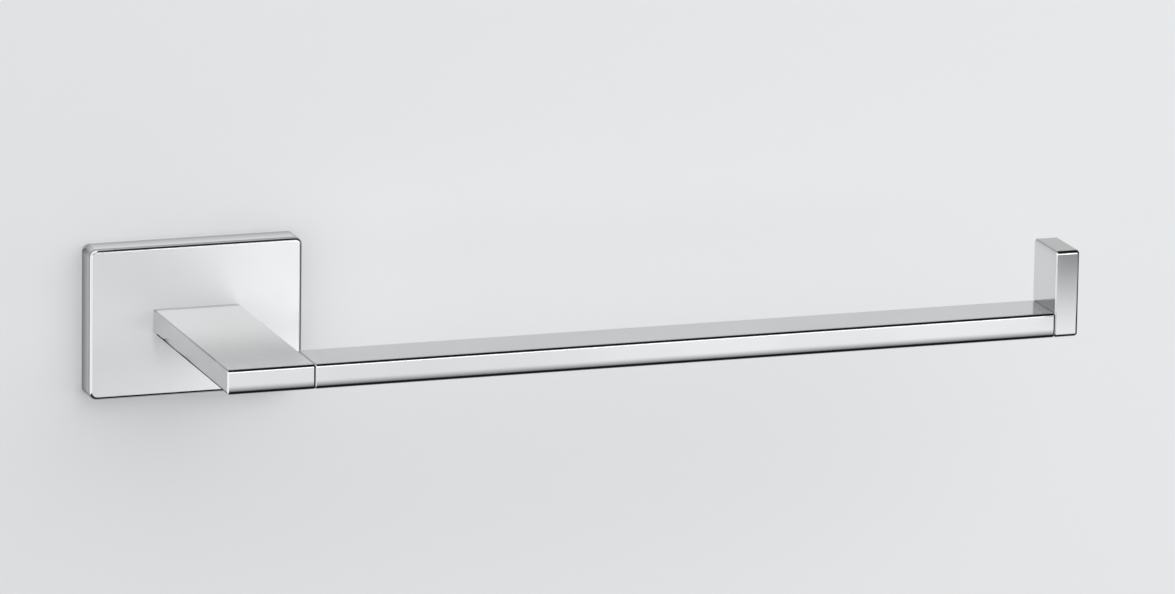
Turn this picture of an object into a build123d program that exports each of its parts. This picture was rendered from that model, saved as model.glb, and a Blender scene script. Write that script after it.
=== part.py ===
from build123d import *
from math import radians, tan
import os

# Towel holder for a wall, with one open end: a cover on the wall, an arm
# standing out of it, a rail along the wall and an upright stop at its end.
# Millimetres. +X runs along the rail, -Y stands out of the wall, +Z is up.
# The origin is the centre of the cover's outline, on the wall.
# A distance is counted from the wall outwards: it lies at y = -distance.

# Driving dimensions

overall_length = 300.0
reach = 89.5
cover_width = 69.5
cover_height = 48.5
cover_depth = 9.0
arm_width = 28.0
bar_thickness = 8.0
rail_depth = 19.0
stop_thickness = 8.0
stop_height = 28.0

# Cover: walls, and the rounding of its edges

cover_side_wall = 2.2
cover_front_wall = 2.5
cover_corner_radius = 2.6
cover_edge_radius = 1.2
cavity_corner_radius = 1.2

# Wall bracket: a dovetail inside the cover, with its room on each side

bracket_side_room = 2.55
bracket_headroom = 4.55
bracket_front_room = 1.0
bracket_land = 1.3
bracket_corner_radius = 2.5
bevel_angle = 45.0
window_room = 3.2
window_corner_radius = 3.0

# Hook and screw boss inside the cover

hook_length = 40.0
hook_thickness = 1.6
hook_overlap = 2.0
unhook_clearance = 0.15
boss_width = 9.0
boss_set_back = 0.4

# Rounding and chamfers of the bars

bar_edge_radius = 1.0
bar_lower_radius = 1.2
arm_side_chamfer = 0.4
seam_chamfer = 0.4
stop_corner_radius = 1.2
stop_outer_edge_radius = 1.2
stop_inner_chamfer = 0.4

# Tenons that join the rail to the arm and to the stop

tenon_side_shoulder = 3.2
tenon_flat_shoulder = 1.7
tenon_corner_radius = 1.2
arm_mortise_length = 10.0
stop_mortise_end_wall = 3.0
tenon_clearance = 0.05
tenon_end_clearance = 0.3

# Wall screws: countersunk head, thin neck, thread from behind the bracket

wall_screw_length = 40.0
wall_screw_thread_radius = 2.25
wall_screw_neck_radius = 1.65
wall_screw_head_radius = 4.35
wall_screw_head_land = 0.3
wall_screw_head_sink = 0.25
wall_screw_tip_length = 4.5
wall_thread_start = 0.3
wall_hole_radius = 2.5
cross_recess_span = 4.4
cross_recess_width = 1.0
cross_recess_depth = 2.2
seat_clearance = 0.05

# Arm screws: button heads with split washers, from inside the cover

arm_screw_spacing = 14.0
arm_screw_radius = 2.0
arm_screw_length = 12.0
arm_screw_head_radius = 3.8
arm_screw_head_height = 2.2
arm_screw_head_rim = 0.7
arm_screw_crown_radius = 2.0
arm_screw_shoulder_radius = 3.2
arm_screw_shoulder_drop = 0.5
arm_screw_socket_across = 2.5
arm_screw_socket_depth = 1.3
arm_screw_tip_chamfer = 0.4
arm_screw_hole_radius = 2.25
arm_hole_spare_depth = 1.5
washer_outer_radius = 3.7
washer_bore_radius = 2.1
washer_thickness = 0.9
washer_split_width = 0.8
washer_split_angle = 25.0

# Grub screws: one under the cover, one under the arm, one under the stop

cover_grub_radius = 2.0
cover_grub_length = 6.0
cover_grub_tip_radius = 0.35
cover_grub_rim_wall = 0.95
rail_grub_radius = 2.0
rail_grub_length = 4.0
stop_grub_radius = 1.5
stop_grub_length = 3.0
grub_recess = 0.4
grub_chamfer = 0.35
grub_tip_clearance = 0.1
grub_mouth_chamfer = 0.3
socket_across_share = 0.5
socket_depth_share = 0.4
thread_clearance = 0.05

# Every cut passes the surface that it opens by this much

overrun = 1.0

# Sizes worked out from those above

cavity_width = cover_width - 2 * cover_side_wall
cavity_height = cover_height - 2 * cover_side_wall
cavity_depth = cover_depth - cover_front_wall
bracket_width = cavity_width - 2 * bracket_side_room
bracket_height = cavity_height - 2 * bracket_headroom
bracket_thickness = cavity_depth - bracket_front_room
bevel_slope = tan(radians(bevel_angle))
bevel_depth = bracket_thickness - bracket_land
bracket_back_height = bracket_height - 2 * bevel_depth * bevel_slope
window_width = arm_screw_spacing + 2 * (arm_screw_head_radius + window_room)
window_height = 2 * (arm_screw_head_radius + window_room)
wall_screw_spacing = (bracket_width + window_width) / 2
wall_screw_head_top = bracket_thickness - wall_screw_head_sink
countersink_radius = (
    wall_screw_head_radius + seat_clearance + wall_screw_head_land + wall_screw_head_sink
)
hook_start = bevel_depth - hook_overlap / bevel_slope
lift_to_unhook = hook_overlap + unhook_clearance
boss_height = bracket_headroom - lift_to_unhook - unhook_clearance
arm_screw_seat = cavity_depth - washer_thickness
rail_distance = reach - rail_depth / 2
rail_start = arm_width / 2
stop_start = overall_length - cover_width / 2 - stop_thickness
tenon_depth = rail_depth - 2 * tenon_side_shoulder
tenon_thickness = bar_thickness - 2 * tenon_flat_shoulder
stop_mortise_length = stop_thickness - stop_mortise_end_wall
cover_grub_distance = cover_grub_rim_wall + thread_clearance + cover_grub_radius
rail_grub_x = rail_start - arm_mortise_length / 2
stop_grub_x = stop_start + stop_mortise_length / 2
bar_floor = -bar_thickness / 2
grub_floor = bar_floor + grub_recess


def facing_out(distance):
    """A plane parallel to the wall, whose normal stands out of it."""
    return Plane.XZ.offset(distance)


def slab(outline, near, far):
    """An outline seen from the front, solid between two distances from the wall."""
    return extrude(facing_out(near) * outline, far - near)


def along_rail(outline, start, end):
    """An outline of depth and height, solid between two places along the rail."""
    return extrude(Plane.YZ.offset(start) * outline, end - start)


def turned(*profile):
    """A half profile of radius and height points, turned round the Z axis."""
    return revolve(Plane.XZ * make_face(Polyline(*profile, close=True)), Axis.Z)


def left_and_right(spacing):
    """The two places of a pair that lies level, by name."""
    return {"left": -spacing / 2, "right": spacing / 2}


def bevel_height(distance):
    """Height of the bracket's upper bevel above its middle, at a distance from the wall."""
    return bracket_back_height / 2 + distance * bevel_slope


def end_edges(body, end):
    """The outline of a bar's left end (0) or right end (-1)."""
    return body.faces().sort_by(Axis.X)[end].edges()


def eased(outline, side, level, size, way=fillet):
    """An outline with one corner rounded or chamfered: 0 is its low side or level, -1 its high one."""
    corner = outline.vertices().group_by(Axis.X)[side].sort_by(Axis.Y)[level]
    return way(corner, size)


def hexagon_socket(across, floor, top):
    """A hexagon socket's cut between two heights."""
    hexagon = RegularPolygon(across / 2, 6, major_radius=False)
    return extrude(Plane.XY.offset(floor) * hexagon, top - floor)


# The fixing inside the cover


def wall_bracket():
    """Plate whose upper and lower edges fall back towards the wall."""
    back, front = bracket_back_height / 2, bracket_height / 2
    upper = [(0, back), (-bevel_depth, front), (-bracket_thickness, front)]
    lower = [(depth, -height) for depth, height in reversed(upper)]
    body = along_rail(
        make_face(Polyline(*upper, *lower, close=True)), -bracket_width / 2, bracket_width / 2
    )
    corners = RectangleRounded(bracket_width, bracket_height, bracket_corner_radius)
    body &= slab(corners, 0, bracket_thickness)
    window = RectangleRounded(window_width, window_height, window_corner_radius)
    body -= slab(window, -overrun, bracket_thickness + overrun)
    for x in left_and_right(wall_screw_spacing).values():
        body -= facing_out(0) * Pos(x, 0) * countersunk_hole()
    return body


def countersunk_hole():
    """A wall screw's hole, with its axis on Z and the wall at height zero."""
    cone_foot = bracket_thickness - (countersink_radius - wall_hole_radius)
    return turned(
        (0, -overrun),
        (wall_hole_radius, -overrun),
        (wall_hole_radius, cone_foot),
        (countersink_radius, bracket_thickness),
        (countersink_radius, bracket_thickness + overrun),
        (0, bracket_thickness + overrun),
    )


def wall_screw(x):
    """Countersunk screw, its head in the bracket and its thread in the wall."""
    cone_top = wall_screw_head_top - wall_screw_head_land
    cone_foot = cone_top - (wall_screw_head_radius - wall_screw_neck_radius)
    tip = wall_screw_head_top - wall_screw_length
    body = turned(
        (0, wall_screw_head_top),
        (wall_screw_head_radius, wall_screw_head_top),
        (wall_screw_head_radius, cone_top),
        (wall_screw_neck_radius, cone_foot),
        (wall_screw_neck_radius, -wall_thread_start),
        (wall_screw_thread_radius, -wall_thread_start),
        (wall_screw_thread_radius, tip + wall_screw_tip_length),
        (0, tip),
    )
    wing = Rectangle(cross_recess_span, cross_recess_width)
    cross = wing + Rotation(0, 0, 90) * wing
    recess_floor = wall_screw_head_top - cross_recess_depth
    body -= extrude(Plane.XY.offset(recess_floor) * cross, cross_recess_depth + overrun)
    return facing_out(0) * Pos(x, 0) * body


# The cover and its screws


def cover_plate():
    """Hollow cover, open at the wall, with its hook, screw boss and holes."""
    outline = RectangleRounded(cover_width, cover_height, cover_corner_radius)
    body = slab(outline, 0, cover_depth)
    body = fillet(body.faces().sort_by(Axis.Y)[0].edges(), cover_edge_radius)
    cavity = RectangleRounded(cavity_width, cavity_height, cavity_corner_radius)
    body -= slab(cavity, -overrun, cavity_depth)
    body += hook()
    body += grub_boss()
    for x in left_and_right(arm_screw_spacing).values():
        hole = Pos(x, 0) * Circle(arm_screw_hole_radius)
        body -= slab(hole, cavity_depth - overrun, cover_depth + overrun)
    depth = cover_side_wall + boss_height + overrun
    mouth = Pos(0, -cover_grub_distance, -cover_height / 2)
    return body - mouth * grub_hole(cover_grub_radius, depth)


def hook():
    """Ledge under the cover's upper wall, whose foot lies on the bracket's upper bevel."""
    near, far = hook_start, hook_start + hook_thickness
    root = (cavity_height + cover_side_wall) / 2
    outline = make_face(
        Polyline(
            (-near, root),
            (-near, bevel_height(near)),
            (-far, bevel_height(far)),
            (-far, root),
            close=True,
        )
    )
    return along_rail(outline, -hook_length / 2, hook_length / 2)


def grub_boss():
    """Pad on the cover's lower wall, which lengthens the grub screw's thread."""
    root = -(cavity_height + cover_side_wall) / 2
    height = boss_height + cover_side_wall / 2
    outline = Pos(0, root + height / 2) * Rectangle(boss_width, height)
    return slab(outline, boss_set_back, cavity_depth + cover_front_wall / 2)


def grub_hole(radius, depth):
    """A grub screw's hole upwards from height zero, with a chamfered mouth."""
    wall = radius + thread_clearance
    mouth = wall + grub_mouth_chamfer
    return turned(
        (0, -overrun),
        (mouth, -overrun),
        (mouth, 0),
        (wall, grub_mouth_chamfer),
        (wall, depth),
        (0, depth),
    )


def grub_screw(radius, length, tip_radius, tip_height):
    """Grub screw with its socket at height zero and its tip up."""
    body = turned(
        (0, 0),
        (radius - grub_chamfer, 0),
        (radius, grub_chamfer),
        (radius, length - tip_height),
        (tip_radius, length),
        (0, length),
    )
    across = 2 * radius * socket_across_share
    return body - hexagon_socket(across, -overrun, length * socket_depth_share)


def cover_grub_screw():
    """Cone-point screw whose flank lies along the bracket's lower bevel."""
    tip_height = (cover_grub_radius - cover_grub_tip_radius) * bevel_slope
    body = grub_screw(cover_grub_radius, cover_grub_length, cover_grub_tip_radius, tip_height)
    apex = -bevel_height(cover_grub_distance) - cover_grub_tip_radius * bevel_slope
    return Pos(0, -cover_grub_distance, apex - seat_clearance - cover_grub_length) * body


def arm_screw(x):
    """Button-head screw from inside the cover into the arm's root."""
    crown = arm_screw_seat - arm_screw_head_height
    tip = arm_screw_seat + arm_screw_length
    body = turned(
        (0, crown),
        (arm_screw_crown_radius, crown),
        (arm_screw_shoulder_radius, crown + arm_screw_shoulder_drop),
        (arm_screw_head_radius, arm_screw_seat - arm_screw_head_rim),
        (arm_screw_head_radius, arm_screw_seat),
        (arm_screw_radius, arm_screw_seat),
        (arm_screw_radius, tip - arm_screw_tip_chamfer),
        (arm_screw_radius - arm_screw_tip_chamfer, tip),
        (0, tip),
    )
    body -= hexagon_socket(arm_screw_socket_across, crown - overrun, crown + arm_screw_socket_depth)
    return facing_out(0) * Pos(x, 0) * body


def arm_lock_washer(x):
    """Split washer between the cover's front wall and the arm screw's head."""
    ring = Circle(washer_outer_radius) - Circle(washer_bore_radius)
    slit = Pos(washer_outer_radius, 0) * Rectangle(2 * washer_outer_radius, washer_split_width)
    ring -= Rotation(0, 0, washer_split_angle) * slit
    return slab(Pos(x, 0) * ring, arm_screw_seat, cavity_depth)


# The three bars


def bar_section(low, high, lower_radius, upper_radius):
    """Section of the rail or the stop: its depth, and its height between two levels."""
    section = Pos(-rail_distance, (low + high) / 2) * Rectangle(rail_depth, high - low)
    for side in (0, -1):
        section = eased(section, side, 0, lower_radius)
        section = eased(section, side, -1, upper_radius)
    return section


def tenon_section(clearance):
    """Section of a tenon, or with a clearance of its mortise."""
    return Pos(-rail_distance, 0) * RectangleRounded(
        tenon_depth + 2 * clearance,
        tenon_thickness + 2 * clearance,
        tenon_corner_radius + clearance,
    )


def arm_bar():
    """The arm's outer form, where its outlines from the right, the front and above meet."""
    length, middle = reach - cover_depth, -(reach + cover_depth) / 2
    from_right = Pos(middle, 0) * Rectangle(length, bar_thickness)
    from_right = eased(from_right, 0, 0, bar_lower_radius)
    from_right = eased(from_right, 0, -1, bar_edge_radius)
    from_front = eased(Rectangle(arm_width, bar_thickness), 0, 0, bar_lower_radius)
    for side, level in ((0, -1), (-1, 0), (-1, -1)):
        from_front = eased(from_front, side, level, arm_side_chamfer, chamfer)
    from_above = Pos(0, middle) * Rectangle(arm_width, length)
    for side in (0, -1):
        from_above = eased(from_above, side, 0, arm_side_chamfer, chamfer)
    body = along_rail(from_right, -arm_width / 2, arm_width / 2)
    body &= slab(from_front, cover_depth - overrun, reach + overrun)
    top = bar_thickness / 2 + overrun
    return body & extrude(Plane.XY.offset(-top) * from_above, 2 * top)


def arm():
    """Flat bar out of the cover, with the rail's mortise in its right side."""
    body = arm_bar()
    mortise = tenon_section(tenon_clearance)
    body -= along_rail(mortise, rail_start - arm_mortise_length, rail_start + overrun)
    for x in left_and_right(arm_screw_spacing).values():
        hole = Pos(x, 0) * Circle(arm_screw_radius + thread_clearance)
        hole_end = arm_screw_seat + arm_screw_length + arm_hole_spare_depth
        body -= slab(hole, cover_depth - overrun, hole_end)
    mouth = Pos(rail_grub_x, -rail_distance, bar_floor)
    return body - mouth * grub_hole(rail_grub_radius, bar_thickness / 2)


def rail():
    """Flat bar with a tenon at each end and a seat in each for its grub screw."""
    section = bar_section(bar_floor, -bar_floor, bar_lower_radius, bar_edge_radius)
    body = along_rail(section, rail_start, stop_start)
    body = chamfer(end_edges(body, 0) + end_edges(body, -1), seam_chamfer)
    left_tip = rail_start - arm_mortise_length + tenon_end_clearance
    right_tip = stop_start + stop_mortise_length - tenon_end_clearance
    body += along_rail(tenon_section(0), left_tip, rail_start + overrun)
    body += along_rail(tenon_section(0), stop_start - overrun, right_tip)
    body -= grub_seat(rail_grub_x, rail_grub_radius, rail_grub_length)
    return body - grub_seat(stop_grub_x, stop_grub_radius, stop_grub_length)


def grub_seat(x, radius, length):
    """Drilled seat that a grub screw's tip enters from below."""
    top = grub_floor + length + grub_tip_clearance
    circle = Plane.XY.offset(bar_floor) * Pos(x, -rail_distance) * Circle(radius + thread_clearance)
    return extrude(circle, top - bar_floor)


def end_stop():
    """Upright block at the open end, with a mortise for the rail."""
    stop_top = bar_floor + stop_height
    section = bar_section(bar_floor, stop_top, stop_corner_radius, stop_corner_radius)
    body = along_rail(section, stop_start, stop_start + stop_thickness)
    body = fillet(end_edges(body, -1), stop_outer_edge_radius)
    body = chamfer(end_edges(body, 0), stop_inner_chamfer)
    mortise = tenon_section(tenon_clearance)
    body -= along_rail(mortise, stop_start - overrun, stop_start + stop_mortise_length)
    mouth = Pos(stop_grub_x, -rail_distance, bar_floor)
    return body - mouth * grub_hole(stop_grub_radius, bar_thickness / 2)


def bar_grub_screw(x, radius, length):
    """Flat-point grub screw under a tenon, its socket just inside the bar."""
    body = grub_screw(radius, length, radius - grub_chamfer, grub_chamfer)
    return Pos(x, -rail_distance, grub_floor) * body


def pieces():
    """Every piece by its name."""
    made = {
        "wall_bracket": wall_bracket(),
        "cover_plate": cover_plate(),
        "cover_grub_screw": cover_grub_screw(),
        "arm": arm(),
        "rail": rail(),
        "rail_grub_screw": bar_grub_screw(rail_grub_x, rail_grub_radius, rail_grub_length),
        "end_stop": end_stop(),
        "end_stop_grub_screw": bar_grub_screw(stop_grub_x, stop_grub_radius, stop_grub_length),
    }
    for side, x in left_and_right(wall_screw_spacing).items():
        made[f"wall_screw_{side}"] = wall_screw(x)
    for side, x in left_and_right(arm_screw_spacing).items():
        made[f"arm_screw_{side}"] = arm_screw(x)
        made[f"arm_lock_washer_{side}"] = arm_lock_washer(x)
    return made


os.makedirs("parts", exist_ok=True)
for name, piece in pieces().items():
    export_step(piece, f"parts/{name}.step")
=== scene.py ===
"""Towel holder on a wall: its finishes, the threads of its wall screws, the studio and the camera.

Lengths are metres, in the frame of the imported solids: +X runs along the rail, -Y stands out of the
wall, +Z is up, and the wall is the plane y = 0. The camera was fitted to the straight edges in the
photograph, so its values are angles and pixels of the 1175 x 594 frame.
"""

import logging
import math
from dataclasses import dataclass
from enum import Enum

import bpy
import numpy as np
from mathutils import Matrix, Vector


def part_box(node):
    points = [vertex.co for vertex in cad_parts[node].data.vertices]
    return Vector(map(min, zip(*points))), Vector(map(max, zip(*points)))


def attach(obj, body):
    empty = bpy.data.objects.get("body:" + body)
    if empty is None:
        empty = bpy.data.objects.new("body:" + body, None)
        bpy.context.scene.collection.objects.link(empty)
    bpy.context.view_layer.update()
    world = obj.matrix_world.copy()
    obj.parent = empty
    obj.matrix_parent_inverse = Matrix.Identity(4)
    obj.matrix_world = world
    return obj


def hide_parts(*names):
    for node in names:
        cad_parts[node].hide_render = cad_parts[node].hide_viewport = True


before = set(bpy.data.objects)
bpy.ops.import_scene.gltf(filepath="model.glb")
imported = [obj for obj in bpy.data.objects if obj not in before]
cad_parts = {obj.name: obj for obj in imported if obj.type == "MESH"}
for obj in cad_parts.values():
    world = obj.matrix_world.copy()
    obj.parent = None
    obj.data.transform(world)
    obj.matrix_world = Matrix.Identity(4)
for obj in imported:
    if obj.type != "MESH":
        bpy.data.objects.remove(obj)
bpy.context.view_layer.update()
log = logging.getLogger("towel_holder")

MM = 0.001
BODY = "root"
DARK_GLOW = 0.025
Colour = tuple[float, float, float]
Point = tuple[float, float, float]
Span = tuple[float, float]
Surface = tuple[np.ndarray, list[list[int]]]
WHITE: Colour = (1.0, 1.0, 1.0)


class Axis(Enum):
    """An axis of the scene, by its place in a point."""

    X = 0
    Y = 1
    Z = 2


class Polish(Enum):
    """Which faces of a chromed piece are satin rather than bright."""

    BRIGHT = "bright all over"
    SATIN_FRONT = "satin on the front face"


@dataclass(frozen=True)
class Noise:
    """A noise pattern: its cells per metre, how it is stretched, and how fine and rough it is.

    With levels it is made into a share, from 0 at the first level to 1 at the second. Without
    them it stays as it is, between about 0.3 and 0.7.
    """

    scale: float
    detail: float
    roughness: float = 0.5
    levels: Span | None = None
    stretch: Point = (1.0, 1.0, 1.0)


class Value:
    """A node's number output, with the operators that add Math nodes."""

    def __init__(self, graph: "Graph", socket: bpy.types.NodeSocket) -> None:
        """Keeps the socket and the graph that further nodes go to."""
        self.graph = graph
        self.socket = socket

    def calc(self, operation: str, *operands: "Value | float") -> "Value":
        """Adds one Math node.

        Args:
            operation: the Math node's operation.
            operands: its inputs in order, numbers or values.

        Returns:
            The node's result.
        """
        return self.graph.value("ShaderNodeMath", {"operation": operation}, dict(enumerate(operands)))

    def __add__(self, other: "Value | float") -> "Value":
        """The sum of both."""
        return self.calc("ADD", self, other)

    __radd__ = __add__

    def __mul__(self, other: "Value | float") -> "Value":
        """The product of both."""
        return self.calc("MULTIPLY", self, other)

    __rmul__ = __mul__

    def ramp(self, low: float, high: float, shape: str = "SMOOTHSTEP") -> "Value":
        """Rises from 0 at low to 1 at high, and stays there beyond.

        Args:
            low: where it is 0.
            high: where it is 1, which may lie below low.
            shape: the Map Range node's interpolation.

        Returns:
            The share of the way.
        """
        inputs = {"Value": self, "From Min": low, "From Max": high}
        return self.graph.value("ShaderNodeMapRange", {"interpolation_type": shape}, inputs)


class Graph:
    """The nodes of one material or world."""

    def __init__(self, owner: bpy.types.ID) -> None:
        """Empties the owner's node tree and keeps it.

        Args:
            owner: the material or world.
        """
        owner.use_nodes = True
        self.tree = owner.node_tree
        self.tree.nodes.clear()

    @classmethod
    def material(cls, name: str) -> tuple["Graph", bpy.types.Material]:
        """A new material's empty graph, and the material."""
        made = bpy.data.materials.new(name)
        return cls(made), made

    def node(
        self, kind: str, settings: dict | None = None, inputs: dict | None = None
    ) -> bpy.types.Node:
        """Adds a node, sets it, then fills its sockets.

        Args:
            kind: the node's type.
            settings: attributes by name, such as a Math node's operation.
            inputs: a number, colour, socket, Value or node for each socket's name or index.

        Returns:
            The new node.
        """
        made = self.tree.nodes.new(kind)
        for name, setting in (settings or {}).items():
            setattr(made, name, setting)
        for key, given in (inputs or {}).items():
            if isinstance(given, Value):
                given = given.socket
            elif isinstance(given, bpy.types.Node):
                given = given.outputs[0]
            if isinstance(given, bpy.types.NodeSocket):
                self.tree.links.new(given, made.inputs[key])
            else:
                made.inputs[key].default_value = given
        return made

    def value(self, kind: str, settings: dict | None = None, inputs: dict | None = None) -> Value:
        """Adds a node and wraps its first output."""
        return Value(self, self.node(kind, settings, inputs).outputs[0])

    def vector(self, operation: str, *operands: object) -> bpy.types.Node:
        """Adds a Vector Math node with its operands in order."""
        return self.node("ShaderNodeVectorMath", {"operation": operation}, dict(enumerate(operands)))

    def place(self) -> bpy.types.NodeSocket:
        """The point on the object, in its own coordinates."""
        return self.node("ShaderNodeTexCoord").outputs["Object"]

    def parts(self, vector: object) -> tuple[Value, Value, Value]:
        """The X, Y and Z of a vector."""
        outputs = self.node("ShaderNodeSeparateXYZ", {}, {0: vector}).outputs
        return Value(self, outputs[0]), Value(self, outputs[1]), Value(self, outputs[2])

    def noise(self, kind: Noise) -> Value:
        """Adds a noise pattern.

        Args:
            kind: the pattern.

        Returns:
            Its level, or with levels its share.
        """
        where = self.vector("MULTIPLY", self.place(), kind.stretch)
        inputs = {"Vector": where, "Scale": kind.scale, "Detail": kind.detail}
        level = self.value("ShaderNodeTexNoise", {}, inputs | {"Roughness": kind.roughness})
        return level.ramp(*kind.levels) if kind.levels else level

    def blend(self, share: object, first: object, second: object) -> bpy.types.NodeSocket:
        """A colour between two colours.

        A Mix node's share is its first input, its two colours are the seventh and the eighth, and
        the mixed colour is its third output.

        Args:
            share: how much of the second is in it, a number or a Value.
            first: the colour at share 0.
            second: the colour at share 1.

        Returns:
            The mixed colour's socket.
        """
        inputs = {0: share, 6: self.rgba(first), 7: self.rgba(second)}
        return self.node("ShaderNodeMix", {"data_type": "RGBA"}, inputs).outputs[2]

    def metal(self, colour: object, metallic: object, roughness: Value, height: Value) -> None:
        """Ends the graph in a metal's surface.

        Args:
            colour: its base colour.
            metallic: how much of it reflects as bare metal does.
            roughness: its roughness.
            height: its relief, in metres.
        """
        bump = self.node("ShaderNodeBump", {}, {"Strength": 1.0, "Distance": 1.0, "Height": height})
        inputs = {"Base Color": colour, "Metallic": metallic, "Roughness": roughness, "Normal": bump}
        shader = self.node("ShaderNodeBsdfPrincipled", {}, inputs)
        self.node("ShaderNodeOutputMaterial", {}, {"Surface": shader})

    def one_sided(self, shader: bpy.types.Node) -> None:
        """Ends the graph in a surface that is clear from behind.

        Args:
            shader: what it is from before.
        """
        clear = self.node("ShaderNodeBsdfTransparent")
        behind = self.node("ShaderNodeNewGeometry").outputs["Backfacing"]
        mixed = self.node("ShaderNodeMixShader", {}, {0: behind, 1: shader, 2: clear})
        self.node("ShaderNodeOutputMaterial", {}, {"Surface": mixed})

    @staticmethod
    def rgba(colour: object) -> object:
        """A colour of three numbers with its alpha, or a socket as it is."""
        return (*colour, 1.0) if isinstance(colour, tuple) else colour


def object_from(name: str, points: np.ndarray, faces: list | np.ndarray) -> bpy.types.Object:
    """Makes a mesh object at the origin.

    Args:
        name: the object's and its mesh's name.
        points: an array of N points.
        faces: point numbers of each face, counter-clockwise seen from outside.

    Returns:
        The object, linked to the scene.
    """
    mesh = bpy.data.meshes.new(name)
    mesh.from_pydata(points.tolist(), [], [list(map(int, face)) for face in faces])
    mesh.update()
    made = bpy.data.objects.new(name, mesh)
    bpy.context.scene.collection.objects.link(made)
    return made


def tube_faces(rings: int, around: int) -> list[list[int]]:
    """Quads between neighbouring rings of points.

    Args:
        rings: how many rings there are, one after the other in the point list.
        around: how many points each ring has.

    Returns:
        One quad for each gap between two rings and two neighbouring points, which wraps round.
    """
    start = np.arange(rings - 1)[:, None] * around
    here = np.arange(around)[None, :]
    ahead = (here + 1) % around
    corners = [start + here, start + ahead, start + around + ahead, start + around + here]
    return np.stack(corners, axis=-1).reshape(-1, 4).tolist()


@dataclass(frozen=True)
class EdgeRoll:
    """A lower edge that polishing has rolled off: the face falls back towards it as a parabola."""

    edge: float
    reach: float = 3.1 * MM
    depth: float = 0.53 * MM
    turned_from: float = -0.82

    def height(self, up: Value, out: Value) -> Value:
        """The relief: none above the reach, and its full depth at the edge.

        Args:
            up: the height on the piece.
            out: the Y of the surface's direction, which is -1 on the front.

        Returns:
            The relief, which fades where the surface turns away from the front.
        """
        way = up.ramp(self.edge + self.reach, self.edge, "LINEAR")
        return -self.depth * (way * way) * out.ramp(self.turned_from, -1.0, "LINEAR")


@dataclass(frozen=True)
class Chrome:
    """Chrome plate: softly buffed flats, glossier edges painted darker (painted shade), wipe marks and
    fine hairlines.
    """

    name: str
    polish: Polish = Polish.BRIGHT
    roll: EdgeRoll | None = None
    tint: Colour = (0.625, 0.63, 0.64)
    shade: Colour = (0.60, 0.605, 0.615)
    # Painted shade: the colour of the rounded edges, darker than the flats, standing in for the dark
    # lines that polished edges mirror.
    painted_edge_shade: Colour = (0.40, 0.405, 0.41)
    satin_tint: Colour = (0.625, 0.63, 0.64)
    satin_shade: Colour = (0.60, 0.605, 0.615)
    edge_roughness: float = 0.06
    flat_roughness: float = 0.15
    satin_roughness: float = 0.42
    satin_metallic: float = 0.12
    flat_from: float = 0.98
    flat_to: float = 0.9995
    clouds: Noise = Noise(scale=28.0, detail=3.0, levels=(0.35, 0.68))
    hairlines: Noise = Noise(
        scale=40.0, detail=4.0, roughness=0.6, levels=(0.45, 0.75), stretch=(6.0, 60.0, 60.0)
    )
    haze: float = 0.04
    waves: Noise = Noise(scale=90.0, detail=1.0)
    wave_height: float = 0.02 * MM

    def material(self) -> bpy.types.Material:
        """Builds the finish.

        Returns:
            The material.
        """
        graph, made = Graph.material(self.name)
        cloud = graph.noise(self.clouds)
        streak = graph.noise(self.hairlines)
        normal = graph.node("ShaderNodeNewGeometry").outputs["Normal"]
        x, y, z = graph.parts(graph.vector("ABSOLUTE", normal))
        flat = x.calc("MAXIMUM", x.calc("MAXIMUM", x, y), z).ramp(self.flat_from, self.flat_to)
        # Rounded edges get the darker painted edge shade; the flats get the cloud-mottled tint.
        colour = graph.blend(flat, self.painted_edge_shade, graph.blend(cloud, self.tint, self.shade))
        roughness = self.edge_roughness + (self.flat_roughness - self.edge_roughness) * flat
        metallic = 1.0
        if self.polish is Polish.SATIN_FRONT:
            front = graph.parts(normal)[1].ramp(-self.flat_from, -self.flat_to)
            colour = graph.blend(front, colour, graph.blend(cloud, self.satin_tint, self.satin_shade))
            roughness = roughness + (self.satin_roughness - self.flat_roughness) * front
            metallic = 1.0 + (self.satin_metallic - 1.0) * front
        height = self.wave_height * graph.noise(self.waves)
        if self.roll:
            height = height + self.roll.height(graph.parts(graph.place())[2], graph.parts(normal)[1])
        graph.metal(colour, metallic, roughness + self.haze * (cloud * streak), height)
        return made


@dataclass(frozen=True)
class WorkshopSteel:
    """Steel as it comes from its process: mottled, softly bright, with a fine grain."""

    name: str
    tint: Colour
    shade: Colour
    roughness: float
    grain_height: float
    mottles: Noise = Noise(scale=260.0, detail=4.0, roughness=0.6, levels=(0.35, 0.65))
    mottle_roughness: float = 0.12
    grains: Noise = Noise(scale=2400.0, detail=3.0, roughness=0.65)
    grain_roughness: float = 0.08

    def material(self) -> bpy.types.Material:
        """Builds the finish.

        Returns:
            The material.
        """
        graph, made = Graph.material(self.name)
        mottle = graph.noise(self.mottles)
        grain = graph.noise(self.grains)
        colour = graph.blend(mottle, self.tint, self.shade)
        roughness = self.roughness + self.mottle_roughness * mottle + self.grain_roughness * grain
        graph.metal(colour, 1.0, roughness, self.grain_height * grain)
        return made


COVER_CHROME = Chrome(
    "cover_chrome",
    Polish.SATIN_FRONT,
    # Painted shade: the cover's sides and top take a darker tint than the bars' chrome, for the wall's
    # contact shadow that they mirror.
    tint=(0.56, 0.565, 0.575),
    shade=(0.535, 0.54, 0.55),
)
ZINC_PLATE = WorkshopSteel(
    "zinc_plate",
    tint=(0.62, 0.64, 0.67),
    shade=(0.52, 0.54, 0.58),
    roughness=0.26,
    grain_height=0.004 * MM,
)
STAINLESS_STEEL = WorkshopSteel(
    "stainless_steel",
    tint=(0.56, 0.55, 0.53),
    shade=(0.48, 0.47, 0.46),
    roughness=0.22,
    grain_height=0.003 * MM,
)


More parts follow.
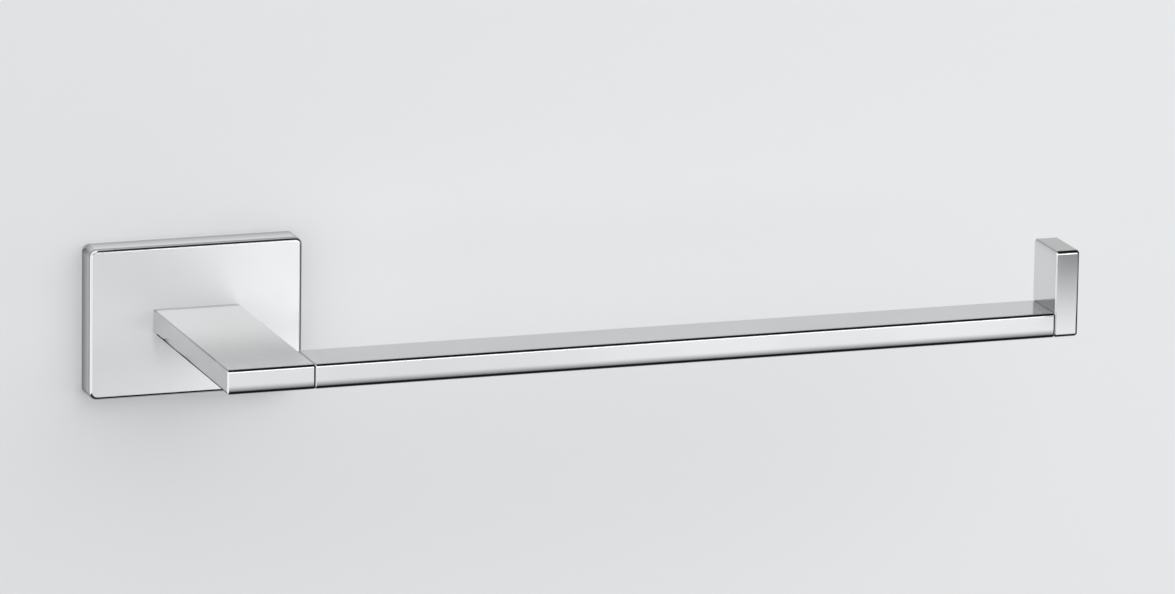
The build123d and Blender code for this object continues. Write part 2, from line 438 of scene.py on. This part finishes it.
@dataclass
class Assembly:
    """Solids that are put together on the bench, with a finish for each."""

    def dress(self, node: str, material: bpy.types.Material) -> None:
        """Gives a solid one material in all its slots.

        Args:
            node: the solid's name.
            material: its finish.
        """
        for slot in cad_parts[node].material_slots:
            slot.material = material
        log.info("%s: %s", node, material.name)


@dataclass
class CoverAssembly(Assembly):
    """The cover on the wall and the grub screw that draws it there."""

    chrome: bpy.types.Material
    steel: bpy.types.Material

    def build(self) -> None:
        """Dresses both."""
        self.dress("cover_plate", self.chrome)
        self.dress("cover_grub_screw", self.steel)


@dataclass
class ArmAssembly(Assembly):
    """The arm with the two screws and lock washers that hold it to the cover."""

    chrome: bpy.types.Material
    steel: bpy.types.Material

    def build(self) -> None:
        """Dresses the arm, then each side's screw and washer."""
        self.dress("arm", self.chrome)
        for side in ("left", "right"):
            self.dress(f"arm_screw_{side}", self.steel)
            self.dress(f"arm_lock_washer_{side}", self.steel)


@dataclass
class RailAssembly(Assembly):
    """The rail, the stop on its end, and the grub screws in their joints."""

    chrome: bpy.types.Material
    stop_chrome: bpy.types.Material
    steel: bpy.types.Material

    def build(self) -> None:
        """Dresses all four."""
        self.dress("rail", self.chrome)
        self.dress("end_stop", self.stop_chrome)
        self.dress("rail_grub_screw", self.steel)
        self.dress("end_stop_grub_screw", self.steel)


@dataclass(frozen=True)
class WallScrew:
    """Countersunk wood screw on an axis along +Y: cross recess, neck, and a coarse pointed thread."""

    node: str
    head_bevel: float = 0.1 * MM
    head_land: float = 0.3 * MM
    neck_radius: float = 1.65 * MM
    core_radius: float = 1.45 * MM
    crest_radius: float = 2.25 * MM
    thread_start: float = 0.3 * MM
    pitch: float = 2.2 * MM
    ridge_half_width: float = 0.55 * MM
    ridge_sink: float = 0.15 * MM
    run_out_turns: float = 0.6
    least_ridge: float = 0.02
    tip_length: float = 4.5 * MM
    tip_bluntness: float = 0.75
    recess_span: float = 4.4 * MM
    recess_width: float = 1.0 * MM
    recess_depth: float = 2.2 * MM
    recess_floor_share: float = 0.55
    recess_steps: tuple[int, ...] = (2, 6, 6, 2)
    steps_per_turn: int = 40
    tip_rings: int = 6

    def axis_and_ends(self) -> tuple[Vector, float, float]:
        """Finds the screw from the solid's own box.

        Returns:
            The head's middle, the head's radius and the tip's Y.
        """
        low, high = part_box(self.node)
        middle = Vector(((low.x + high.x) / 2, low.y, (low.z + high.z) / 2))
        return middle, (high.x - low.x) / 2, high.y

    def recess_angles(self) -> np.ndarray:
        """Angles round the axis with one at each corner of the cross.

        In each quarter the corners lie at the tip angle t, whose tangent is width over span, at
        half the quarter, and at the quarter less t. Even steps fill the gaps between them.

        Returns:
            The rising angles of one full turn.
        """
        quarter = math.pi / 2
        tip = math.atan2(self.recess_width, self.recess_span)
        corners = (0.0, tip, quarter / 2, quarter - tip, quarter)
        gaps = zip(corners, corners[1:], self.recess_steps)
        one = np.concatenate([np.linspace(start, end, n, endpoint=False) for start, end, n in gaps])
        return (one[None, :] + quarter * np.arange(4)[:, None]).ravel()

    def recess_reach(self, angles: np.ndarray) -> np.ndarray:
        """How far the cross reaches at each angle.

        A ray leaves a bar of half-length a and half-width b where it first meets one of its sides,
        at the lesser of a over |cos| and b over |sin|. The cross is two such bars, so its edge is
        at the greater of both.

        Args:
            angles: the rays' angles.

        Returns:
            The radius of the cross's edge on each ray.
        """
        tiny = 1e-9
        along = np.maximum(np.abs(np.cos(angles)), tiny)
        across = np.maximum(np.abs(np.sin(angles)), tiny)
        a, b = self.recess_span / 2, self.recess_width / 2
        level = np.minimum(a / along, b / across)
        upright = np.minimum(b / along, a / across)
        return np.maximum(level, upright)

    def core_at(self, y: np.ndarray, tip: float) -> np.ndarray:
        """The core's radius: even, then shrinking over the tip as a power of the way left."""
        left = np.clip((tip - y) / self.tip_length, 0.0, 1.0)
        return self.core_radius * left**self.tip_bluntness

    def profile(self) -> np.ndarray:
        """The outline of the round parts, turned about the axis.

        It takes in the head's bevel and land, the countersink at 45 degrees, the neck, and the
        core, whose last rings shrink over the tip.

        Returns:
            A radius and a place along the axis for each ring, from the head to the tip.
        """
        middle, head_radius, tip = self.axis_and_ends()
        top = middle.y
        cone_top = top + self.head_land
        turned = [
            (head_radius - self.head_bevel, top),
            (head_radius, top + self.head_bevel),
            (head_radius, cone_top),
            (self.neck_radius, cone_top + head_radius - self.neck_radius),
            (self.neck_radius, self.thread_start),
            (self.core_radius, self.thread_start + self.pitch / 2),
        ]
        taper = np.linspace(tip - self.tip_length, tip, self.tip_rings + 1)[:-1]
        return np.vstack([turned, np.column_stack([self.core_at(taper, tip), taper])])

    def core(self) -> Surface:
        """The head, neck and core as one closed surface.

        Rings of points about the axis, each with a radius and a place along it: the recess's
        floor and rim take the cross's reach as their radius, and the others are round. A pole
        closes the recess's floor and another the tip.

        Returns:
            Its points and faces.
        """
        middle, _, tip = self.axis_and_ends()
        floor = middle.y + self.recess_depth
        angles = self.recess_angles()
        around = len(angles)
        reach = self.recess_reach(angles)
        turned_r, turned_y = np.repeat(self.profile().T[:, :, None], around, axis=2)
        r = np.vstack([self.recess_floor_share * reach, reach, turned_r])
        y = np.vstack([np.full(around, floor), np.full(around, middle.y), turned_y])
        rings = np.stack([middle.x + r * np.cos(angles), y, middle.z + r * np.sin(angles)], axis=-1)
        poles = np.array([[middle.x, floor, middle.z], [middle.x, tip, middle.z]])
        points = np.vstack([rings.reshape(-1, 3), poles])
        here = np.arange(around)
        ahead = (here + 1) % around
        last = (len(r) - 1) * around
        first_pole, last_pole = len(points) - 2, len(points) - 1
        floor_fan = np.column_stack([np.full(around, first_pole), ahead, here]).tolist()
        tip_fan = np.column_stack([np.full(around, last_pole), last + here, last + ahead]).tolist()
        faces = tube_faces(len(r), around) + floor_fan + tip_fan
        return points, [face[::-1] for face in faces]

    def thread(self) -> Surface:
        """The ridge of the thread, a triangle carried along a helix round the core.

        At an angle of u the triangle's middle is at the start plus the pitch times u over a full
        turn. Its crest stands off the core by the thread's depth, and its two feet lie half a
        width to each side, a little inside the core. Near both ends the triangle shrinks evenly
        to almost nothing, inside the core.

        Returns:
            Its points and faces.
        """
        middle, _, tip = self.axis_and_ends()
        turns = (tip - self.ridge_half_width - self.thread_start) / self.pitch
        count = round(turns * self.steps_per_turn)
        way = np.linspace(0.0, turns, count + 1)
        size = np.clip(np.minimum(way, turns - way) / self.run_out_turns, self.least_ridge, 1.0)
        y = self.thread_start + self.ridge_half_width / 2 + way * self.pitch
        y = np.minimum(y, tip - self.ridge_half_width)
        foot = self.core_at(y, tip) - self.ridge_sink
        crest = foot + size * (self.crest_radius - self.core_radius + self.ridge_sink)
        r = np.column_stack([foot, crest, foot])
        along = y[:, None] + self.ridge_half_width * size[:, None] * np.array([-1.0, 0.0, 1.0])
        angle = 2 * math.pi * way[:, None]
        points = np.stack([middle.x + r * np.cos(angle), along, middle.z + r * np.sin(angle)], axis=-1)
        ends = [[2, 1, 0], [3 * count, 3 * count + 1, 3 * count + 2]]
        return points.reshape(-1, 3), tube_faces(count + 1, 3) + ends

    def build(self, material: bpy.types.Material) -> None:
        """Joins both surfaces in one mesh that stands for the solid screw.

        Args:
            material: its finish.
        """
        core_points, core_faces = self.core()
        ridge_points, ridge_faces = self.thread()
        shifted = [[corner + len(core_points) for corner in face] for face in ridge_faces]
        points = np.vstack([core_points, ridge_points])
        made = object_from(f"{self.node}_threaded", points, core_faces + shifted)
        made.data.materials.append(material)
        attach(made, BODY)
        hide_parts(self.node)
        log.info("%s: %d faces", made.name, len(made.data.polygons))


@dataclass
class WallFixing(Assembly):
    """The bracket and the two screws that hold it to the wall."""

    zinc: bpy.types.Material

    def build(self) -> None:
        """Dresses the bracket and makes the screws."""
        self.dress("wall_bracket", self.zinc)
        for side in ("left", "right"):
            node = f"wall_screw_{side}"
            self.dress(node, self.zinc)
            WallScrew(node).build(self.zinc)


@dataclass(frozen=True)
class Fade:
    """An even change of a card's glow along an axis, from a share of it at start to all at end."""

    axis: Axis
    start: float
    end: float
    share: float


@dataclass(frozen=True)
class StudioCard:
    """A flat card outside the picture that only polished metal sees.

    It spans two of the axes and has one place on the third.
    """

    name: str
    x: Span | float
    y: Span | float
    z: Span | float
    glow: float
    fades: tuple[Fade, ...] = ()
    clear_behind: bool = False

    def corners(self) -> np.ndarray:
        """Works out the card's corners.

        Returns:
            Four points, in order round the card, from the low end of both its spans.
        """
        sides = (self.x, self.y, self.z)
        low, high = np.array([side if isinstance(side, tuple) else (side, side) for side in sides]).T
        across, along = np.flatnonzero(high > low)
        points = np.tile(low, (4, 1))
        points[1:3, across] = high[across]
        points[2:4, along] = high[along]
        return points

    def material(self) -> bpy.types.Material:
        """Builds its even or fading light.

        Returns:
            The material.
        """
        graph, made = Graph.material(self.name)
        place = graph.parts(graph.place())
        glow = self.glow
        for fade in self.fades:
            way = place[fade.axis.value].ramp(fade.start, fade.end, "LINEAR")
            glow = glow * (fade.share + (1.0 - fade.share) * way)
        light = graph.node("ShaderNodeEmission", {}, {"Color": graph.rgba(WHITE), "Strength": glow})
        if self.clear_behind:
            graph.one_sided(light)
        else:
            graph.node("ShaderNodeOutputMaterial", {}, {"Surface": light})
        return made

    def build(self) -> None:
        """Makes the card and hides it from all but glossy rays."""
        made = object_from(self.name, self.corners(), [(0, 1, 2, 3)])
        made.data.materials.append(self.material())
        made.visible_camera = made.visible_diffuse = made.visible_shadow = False
        made.visible_transmission = made.visible_volume_scatter = False
        log.info("studio: %s", self.name)


@dataclass(frozen=True)
class Tent:
    """The large cards: a box about the holder, open at the wall.

    The chrome mirrors it. The lowest band of its front gives the bars' bright fronts, the thin
    strip of light the white lines along their upper edges, and the dark cards above and overhead
    the black lines over these. A white card stands before the front for the upright left edges.
    """

    left: float = -0.50
    right: float = 0.60
    front: float = -0.40
    floor: float = -0.30
    top: float = 0.20
    far_ends: Span = (-0.90, 1.30)
    top_front: float = -0.36
    top_split: Span = (0.015, 0.025)
    right_top: float = 0.19
    floor_back: float = -0.005
    side_back: float = -0.01
    left_back: float = -0.02
    left_split_y: float = -0.16
    left_split_z: float = 0.02
    strip_x: Span = (0.04, 0.42)
    strip_z: Span = (0.03, 0.055)
    softbox_top: float = 0.16
    edge_x: Span = (-0.33, -0.10)
    edge_z: Span = (-0.15, 0.085)
    edge_gap: float = 0.005
    front_glow: float = 1.31
    soft_glow: float = 1.25
    white_glow: float = 2.3
    edge_glow: float = 2.6
    left_front_glow: float = 3.2
    strip_glow: float = 11.0
    right_fade: Fade = Fade(Axis.X, start=0.17, end=0.25, share=0.9)
    low_fade: Fade = Fade(Axis.Z, start=-0.28, end=-0.10, share=0.05)

    def front_bands(self) -> tuple[StudioCard, ...]:
        """The front, from the floor up, and the white card before it.

        Returns:
            The cards.
        """
        strip_low, strip_high = self.strip_z
        first, last = self.far_ends
        strip_left, strip_right = self.strip_x
        edge_y = self.front + self.edge_gap
        front_z = (self.floor, strip_low)
        softbox_z = (strip_high, self.softbox_top)
        upper_z = (self.softbox_top, self.top)
        fades = (self.right_fade, self.low_fade)
        return (
            StudioCard("front_card", self.far_ends, self.front, front_z, self.front_glow, fades),
            StudioCard("side_front_card", self.edge_x, edge_y, self.edge_z, self.edge_glow),
            StudioCard("softbox", self.far_ends, self.front, softbox_z, self.soft_glow),
            StudioCard("strip_light", self.strip_x, self.front, self.strip_z, self.strip_glow),
            StudioCard("softbox_left", (first, strip_left), self.front, self.strip_z, self.soft_glow),
            StudioCard("softbox_right", (strip_right, last), self.front, self.strip_z, self.soft_glow),
            StudioCard("upper_card", self.far_ends, self.front, upper_z, DARK_GLOW),
        )

    def sides(self) -> tuple[StudioCard, ...]:
        """The left side in three cards, and the dark right side.

        Returns:
            The cards.
        """
        lower_z = (self.floor, self.left_split_z)
        upper_z = (self.left_split_z, self.top)
        whole_y = (self.front, self.left_back)
        front_y = (self.front, self.left_split_y)
        back_y = (self.left_split_y, self.left_back)
        right_y = (self.top_front, self.side_back)
        right_z = (self.floor, self.right_top)
        return (
            StudioCard("left_card", self.left, whole_y, lower_z, self.white_glow),
            StudioCard("left_front_card", self.left, front_y, upper_z, self.left_front_glow),
            StudioCard("left_back_card", self.left, back_y, upper_z, self.soft_glow),
            StudioCard("right_card", self.right, right_y, right_z, DARK_GLOW),
        )

    def floor_and_top(self) -> tuple[StudioCard, ...]:
        """The dark floor, and overhead a white card on the left and a dark one on the right.

        Returns:
            The cards.
        """
        white_end, dark_start = self.top_split
        last = self.far_ends[1]
        floor_y = (self.front, self.floor_back)
        dark_y = (self.top_front, self.floor_back)
        white_y = (self.top_front, self.side_back)
        return (
            StudioCard("floor_card", self.far_ends, floor_y, self.floor, DARK_GLOW),
            StudioCard("ceiling_card", (dark_start, last), dark_y, self.top, DARK_GLOW),
            StudioCard("corner_card", (self.left, white_end), white_y, self.top, self.white_glow),
        )

    def cards(self) -> tuple[StudioCard, ...]:
        """All its cards."""
        return self.floor_and_top() + self.sides() + self.front_bands()


def from_side(side: float, offsets: Span) -> Span:
    """The two places at the given offsets from a side."""
    return side + offsets[0], side + offsets[1]


@dataclass(frozen=True)
class CoverCards:
    """Small cards that show in the cover's upper side, its left side and its upper edge.

    The first two lie just before the wall, where each side mirrors it: a painted reflection of the
    wall, with painted shade near the cover, so they grow brighter away from the cover. Their places
    are offsets from the cover's box.
    """

    wall_gap: float = 0.4 * MM
    top_ends: Span = (-1.25 * MM, 7.25 * MM)
    top_rise: Span = (-0.05 * MM, 2.55 * MM)
    top_glow: float = 1.17
    top_fade: Span = (0.15 * MM, 2.35 * MM)
    top_share: float = 0.52
    side_reach: Span = (-3.45 * MM, 0.15 * MM)
    side_ends: Span = (-3.25 * MM, -0.25 * MM)
    side_glow: float = 0.82
    side_fade: Span = (-0.15 * MM, -3.05 * MM)
    side_share: float = 0.35
    edge_ends: Span = (4.75 * MM, 20.25 * MM)
    edge_depth: Span = (-6.0 * MM, -3.0 * MM)
    edge_rise: float = 25.75 * MM
    edge_glow: float = 1.15

    def cards(self) -> tuple[StudioCard, ...]:
        """Places them.

        Returns:
            The cards.
        """
        low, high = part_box("cover_plate")
        before_wall = high.y - self.wall_gap
        return (
            # Painted reflection of the wall above the cover, dimmer next to it as painted shade.
            StudioCard(
                "cover_top_card",
                x=(low.x + self.top_ends[0], high.x + self.top_ends[1]),
                y=before_wall,
                z=from_side(high.z, self.top_rise),
                glow=self.top_glow,
                fades=(Fade(Axis.Z, *from_side(high.z, self.top_fade), self.top_share),),
                clear_behind=True,
            ),
            # Painted shade: the wall's contact shadow left of the cover, as the cover's side mirrors
            # it.
            StudioCard(
                "cover_side_card",
                x=from_side(low.x, self.side_reach),
                y=before_wall,
                z=(low.z + self.side_ends[0], high.z + self.side_ends[1]),
                glow=self.side_glow,
                fades=(Fade(Axis.X, *from_side(low.x, self.side_fade), self.side_share),),
                clear_behind=True,
            ),
            StudioCard(
                "cover_edge_card",
                x=(low.x + self.edge_ends[0], high.x + self.edge_ends[1]),
                y=(low.y + self.edge_depth[0], high.y + self.edge_depth[1]),
                z=high.z + self.edge_rise,
                glow=self.edge_glow,
            ),
        )


@dataclass(frozen=True)
class ArmCards:
    """Small cards just before the cover's front, clear from behind, that show in the arm only.

    The bright one is a painted reflection of the cover's face in the arm's top, and darkens upwards,
    most of all over its upper part. The three dark ones are painted shade, standing in for the arm's
    shadow on the cover: they give the dark line along the arm's lower left edge, from its root to its
    end.
    """

    gap: float = 0.5 * MM
    inset: float = 0.75 * MM
    top_start: float = 0.5 * MM
    top_fade_end: float = 8.0 * MM
    top_glow: float = 1.0
    top_share: float = 0.62
    whole_share: float = 0.92
    root_left: float = -1.5 * MM
    edge_left: float = -4.0 * MM
    tip_left: float = -10.0 * MM
    root_z: Span = (-1.6 * MM, -0.3 * MM)
    tip_z: Span = (-36.0 * MM, -8.0 * MM)

    def cards(self) -> tuple[StudioCard, ...]:
        """Places them.

        Returns:
            The cards.
        """
        return (self.top_card(), *self.edge_cards())

    def top_card(self) -> StudioCard:
        """The bright card, a painted reflection of the cover's face, from the arm's top to the cover's
        upper edge.

        Returns:
            The card.
        """
        cover_low, cover_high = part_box("cover_plate")
        arm_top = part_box("arm")[1].z
        start = arm_top + self.top_start
        end = cover_high.z - self.inset
        return StudioCard(
            "arm_top_card",
            x=(cover_low.x + self.inset, cover_high.x - self.inset),
            y=cover_low.y - self.gap,
            z=(start, end),
            glow=self.top_glow,
            fades=(
                Fade(Axis.Z, end, arm_top + self.top_fade_end, self.top_share),
                Fade(Axis.Z, end, start, self.whole_share),
            ),
            clear_behind=True,
        )

    def edge_cards(self) -> tuple[StudioCard, ...]:
        """The dark cards of painted shade, each further left and lower than the one before.

        Returns:
            The cards.
        """
        low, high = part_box("arm")
        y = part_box("cover_plate")[0].y - self.gap
        edge_left = low.x + self.edge_left
        root_low, root_high = from_side(low.z, self.root_z)
        foot, tip_high = from_side(low.z, self.tip_z)
        spans = {
            "arm_root_card": ((low.x + self.root_left, high.x), (root_low, root_high)),
            "arm_edge_card": ((edge_left, high.x), (foot, root_low)),
            "arm_tip_card": ((low.x + self.tip_left, edge_left), (foot, tip_high)),
        }
        return tuple(
            StudioCard(name, x, y, z, DARK_GLOW, clear_behind=True) for name, (x, z) in spans.items()
        )


@dataclass(frozen=True)
class StopCards:
    """Cards that show in the stop's front, its top and its left side.

    The one for its foot shows in the rail's top, and the rail's top in the foot. All but the first are
    clear from behind, and are painted reflections in place of what these faces mirror: dimmer than the
    wall over the stop's top and by its foot as painted shade, brighter beside its left side. Their
    places are offsets from the stop's box, the rail's top or the wall.
    """

    wall_gap: float = 3.0 * MM
    front_ends: Span = (20.25 * MM, 134.75 * MM)
    front_distance: float = 60.5 * MM
    front_rise: Span = (-18.0 * MM, -12.0 * MM)
    front_glow: float = 1.31
    front_fade: Span = (-15.5 * MM, -13.0 * MM)
    front_share: float = 0.20
    top_ends: Span = (12.75 * MM, 39.75 * MM)
    top_rise: Span = (14.0 * MM, 36.0 * MM)
    top_glow: float = 0.66
    left_reach: Span = (-37.25 * MM, -17.25 * MM)
    left_rise: Span = (-32.0 * MM, -14.0 * MM)
    left_glow: float = 0.92
    foot_left: float = -22.75 * MM
    foot_front: float = -50.0 * MM
    foot_rise: Span = (6.0 * MM, 17.2 * MM)
    foot_glow: float = 0.38

    def cards(self) -> tuple[StudioCard, ...]:
        """Places them.

        Returns:
            The cards.
        """
        low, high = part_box("end_stop")
        rail_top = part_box("rail")[1].z
        before_wall = -self.wall_gap
        front_start, front_end = high.z + self.front_fade[0], low.z + self.front_fade[1]
        return (
            StudioCard(
                "stop_card",
                x=(low.x + self.front_ends[0], high.x + self.front_ends[1]),
                y=low.y - self.front_distance,
                z=(low.z + self.front_rise[0], high.z + self.front_rise[1]),
                glow=self.front_glow,
                fades=(Fade(Axis.Z, front_start, front_end, self.front_share),),
            ),
            StudioCard(
                "stop_top_card",
                x=(low.x + self.top_ends[0], high.x + self.top_ends[1]),
                y=before_wall,
                z=from_side(high.z, self.top_rise),
                glow=self.top_glow,
                clear_behind=True,
            ),
            StudioCard(
                "stop_foot_card",
                x=low.x + self.foot_left,
                y=(self.foot_front, before_wall),
                z=from_side(rail_top, self.foot_rise),
                glow=self.foot_glow,
                clear_behind=True,
            ),
            StudioCard(
                "stop_left_card",
                x=from_side(low.x, self.left_reach),
                y=before_wall,
                z=(low.z + self.left_rise[0], high.z + self.left_rise[1]),
                glow=self.left_glow,
                clear_behind=True,
            ),
        )


@dataclass(frozen=True)
class SeamCards:
    """A dark strip just before each of the rail's two seams: painted shade, standing in for the shade
    in the groove, which keeps the groove dark.
    """

    gap: float = 0.2 * MM
    width: float = 0.7 * MM

    def cards(self) -> tuple[StudioCard, ...]:
        """Places them.

        Returns:
            The cards.
        """
        low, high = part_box("rail")
        y = low.y - self.gap
        z = (low.z, high.z)
        across = (-self.width / 2, self.width / 2)
        seams = {"arm_seam_card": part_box("arm")[1].x, "stop_seam_card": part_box("end_stop")[0].x}
        return tuple(
            StudioCard(name, from_side(seam, across), y, z, DARK_GLOW) for name, seam in seams.items()
        )


@dataclass(frozen=True)
class Lamp:
    """A soft lamp that lights one matt surface and never shows itself.

    It is turned to its target, or without one squarely to the wall.
    """

    name: str
    lights: str
    place: Point
    width: float
    height: float
    power: float
    target: Point | None = None
    shadows: bool = True

    def build(self) -> None:
        """Makes the lamp for the one object that it lights."""
        data = bpy.data.lights.new(self.name, "AREA")
        data.shape = "RECTANGLE"
        data.size, data.size_y = self.width, self.height
        data.energy = self.power
        data.use_shadow = self.shadows
        made = bpy.data.objects.new(self.name, data)
        made.location = self.place
        x, _, z = self.place
        aim = Vector(self.target or (x, 0.0, z)) - Vector(self.place)
        made.rotation_euler = aim.to_track_quat("-Z", "Y").to_euler()
        made.visible_camera = made.visible_glossy = False
        bpy.context.scene.collection.objects.link(made)
        lit = bpy.data.collections.new(f"lit_by_{self.name}")
        lit.objects.link(bpy.data.objects[self.lights])
        made.light_linking.receiver_collection = lit
        log.info("studio: %s", self.name)


@dataclass(frozen=True)
class Studio:
    """The wall, the soft light on it, and the cards that the chrome reflects."""

    wall_name: str = "wall"
    wall_reach: float = 1.6
    wall_colour: Colour = (0.83, 0.835, 0.845)
    wall_inset: float = 1.0 * MM
    wall_lift: float = 0.05 * MM
    ambient: float = 0.60
    pale: Colour = (0.76, 0.765, 0.775)

    def build(self) -> None:
        """Builds the wall, the world, the lamps and the cards."""
        self.wall()
        self.world()
        for lamp in self.wall_lamps() + self.cover_lamps():
            lamp.build()
        for group in (Tent(), CoverCards(), ArmCards(), StopCards(), SeamCards()):
            for card in group.cards():
                card.build()

    def wall_lamps(self) -> tuple[Lamp, ...]:
        """The wide lamp that casts the shadows, and fills right of the cover and behind the rail.

        Returns:
            The lamps.
        """
        return (
            Lamp(
                "key_lamp",
                self.wall_name,
                place=(0.9, -1.6, 0.55),
                target=(0.15, 0.0, 0.0),
                width=2.4,
                height=2.4,
                power=20.5,
            ),
            Lamp(
                "side_lamp",
                self.wall_name,
                place=(0.055, -0.03, 0.005),
                width=0.03,
                height=0.05,
                power=0.0008,
                shadows=False,
            ),
            Lamp(
                "rail_lamp",
                self.wall_name,
                place=(0.17, -0.05, 0.01),
                width=0.20,
                height=0.03,
                power=0.004,
                shadows=False,
            ),
        )

    def cover_lamps(self) -> tuple[Lamp, ...]:
        """The narrow lamp for the arm's shadow on the cover's front, and a fill at its lower right.

        Returns:
            The lamps.
        """
        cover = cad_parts["cover_plate"].name
        arm_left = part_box("arm")[0].x
        return (
            Lamp(
                "front_lamp",
                cover,
                place=(arm_left, -1.0, 0.05),
                target=(arm_left, 0.0, 0.0),
                width=0.01,
                height=0.15,
                power=2.08,
            ),
            Lamp(
                "cover_lamp",
                cover,
                place=(0.045, -0.08, -0.03),
                width=0.03,
                height=0.16,
                power=0.07,
                shadows=False,
            ),
        )

    def wall(self) -> None:
        """A plaster wall, clear from behind, with an opening where the cover stands.

        It is a flat frame of four quads between an outer and an inner rectangle.
        """
        low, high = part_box("cover_plate")
        inner = np.array([[low.x, low.z], [high.x, low.z], [high.x, high.z], [low.x, high.z]])
        inner += self.wall_inset * np.array([[1, 1], [-1, 1], [-1, -1], [1, -1]])
        outer = self.wall_reach * np.array([[-1, -1], [1, -1], [1, 1], [-1, 1]])
        flat = np.vstack([outer, inner])
        points = np.column_stack([flat[:, 0], np.full(len(flat), -self.wall_lift), flat[:, 1]])
        corners = np.arange(4)
        following = (corners + 1) % 4
        faces = np.column_stack([corners, following, following + 4, corners + 4])
        made = object_from(self.wall_name, points, faces)
        graph, material = Graph.material("wall_plaster")
        plaster = graph.node("ShaderNodeBsdfDiffuse", {}, {"Color": graph.rgba(self.wall_colour)})
        graph.one_sided(plaster)
        made.data.materials.append(material)
        log.info("studio: %s", self.wall_name)

    def world(self) -> None:
        """Plain light on the wall, and a pale room for the camera and in the metal."""
        world = bpy.data.worlds.new("studio")
        bpy.context.scene.world = world
        graph = Graph(world)
        path = graph.node("ShaderNodeLightPath").outputs
        seen = Value(graph, path["Is Camera Ray"]) + Value(graph, path["Is Glossy Ray"])
        seen = seen + Value(graph, path["Is Transmission Ray"])
        plain = (self.ambient,) * 3
        colour = graph.blend(seen, plain, self.pale)
        light = graph.node("ShaderNodeBackground", {}, {"Color": colour, "Strength": 1.0})
        graph.node("ShaderNodeOutputWorld", {}, {"Surface": light})


@dataclass(frozen=True)
class PhotoCamera:
    """The photograph's camera: its direction, its distance, and where it sees the origin."""

    frame_width: float = 1175.0
    frame_height: float = 594.0
    azimuth: float = 19.148
    elevation: float = 13.816
    roll: float = 0.893
    focal_pixels: float = 9240.5
    origin_pixel: tuple[float, float] = (188.145, 312.188)
    distance: float = 2.9039
    sensor_width: float = 36.0
    clip_start: float = 0.1
    clip_end: float = 30.0

    def build(self) -> None:
        """Places the camera and makes it the scene's.

        It looks along the azimuth and down by the elevation, is rolled about that line, and stands
        so far aside that the origin comes to its pixel.
        """
        azimuth, elevation, roll = (math.radians(a) for a in (self.azimuth, self.elevation, self.roll))
        level = math.cos(elevation)
        ahead = Vector((math.sin(azimuth) * level, math.cos(azimuth) * level, -math.sin(elevation)))
        right = Vector((math.cos(azimuth), -math.sin(azimuth), 0.0))
        up = right.cross(ahead)
        side = math.cos(roll) * right + math.sin(roll) * up
        top = -math.sin(roll) * right + math.cos(roll) * up
        metres_per_pixel = self.distance / self.focal_pixels
        x = (self.origin_pixel[0] - self.frame_width / 2) * metres_per_pixel
        y = (self.frame_height / 2 - self.origin_pixel[1]) * metres_per_pixel
        place = -x * side - y * top - self.distance * ahead
        data = bpy.data.cameras.new("photo_camera")
        data.sensor_width = self.sensor_width
        data.sensor_fit = "HORIZONTAL"
        data.lens = self.focal_pixels * self.sensor_width / self.frame_width
        data.clip_start, data.clip_end = self.clip_start, self.clip_end
        made = bpy.data.objects.new("photo_camera", data)
        turn = Matrix((side, top, -ahead)).transposed()
        made.matrix_world = Matrix.Translation(place) @ turn.to_4x4()
        bpy.context.scene.collection.objects.link(made)
        bpy.context.scene.camera = made
        log.info("camera: %.1f degrees round, %.1f up", self.azimuth, self.elevation)


def main() -> None:
    """Builds the camera, the studio and each assembly in order."""
    logging.basicConfig(level=logging.INFO, format="%(name)s %(message)s")
    bpy.context.scene.view_settings.view_transform = "Standard"
    PhotoCamera().build()
    Studio().build()
    rolled = EdgeRoll(edge=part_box("rail")[0].z)
    cover_chrome = COVER_CHROME.material()
    bar_chrome = Chrome("bar_chrome", roll=rolled).material()
    stop_chrome = Chrome("stop_chrome").material()
    zinc = ZINC_PLATE.material()
    stainless = STAINLESS_STEEL.material()
    WallFixing(zinc).build()
    CoverAssembly(cover_chrome, stainless).build()
    ArmAssembly(bar_chrome, stainless).build()
    RailAssembly(bar_chrome, stop_chrome, stainless).build()


if __name__ == "__main__":
    main()
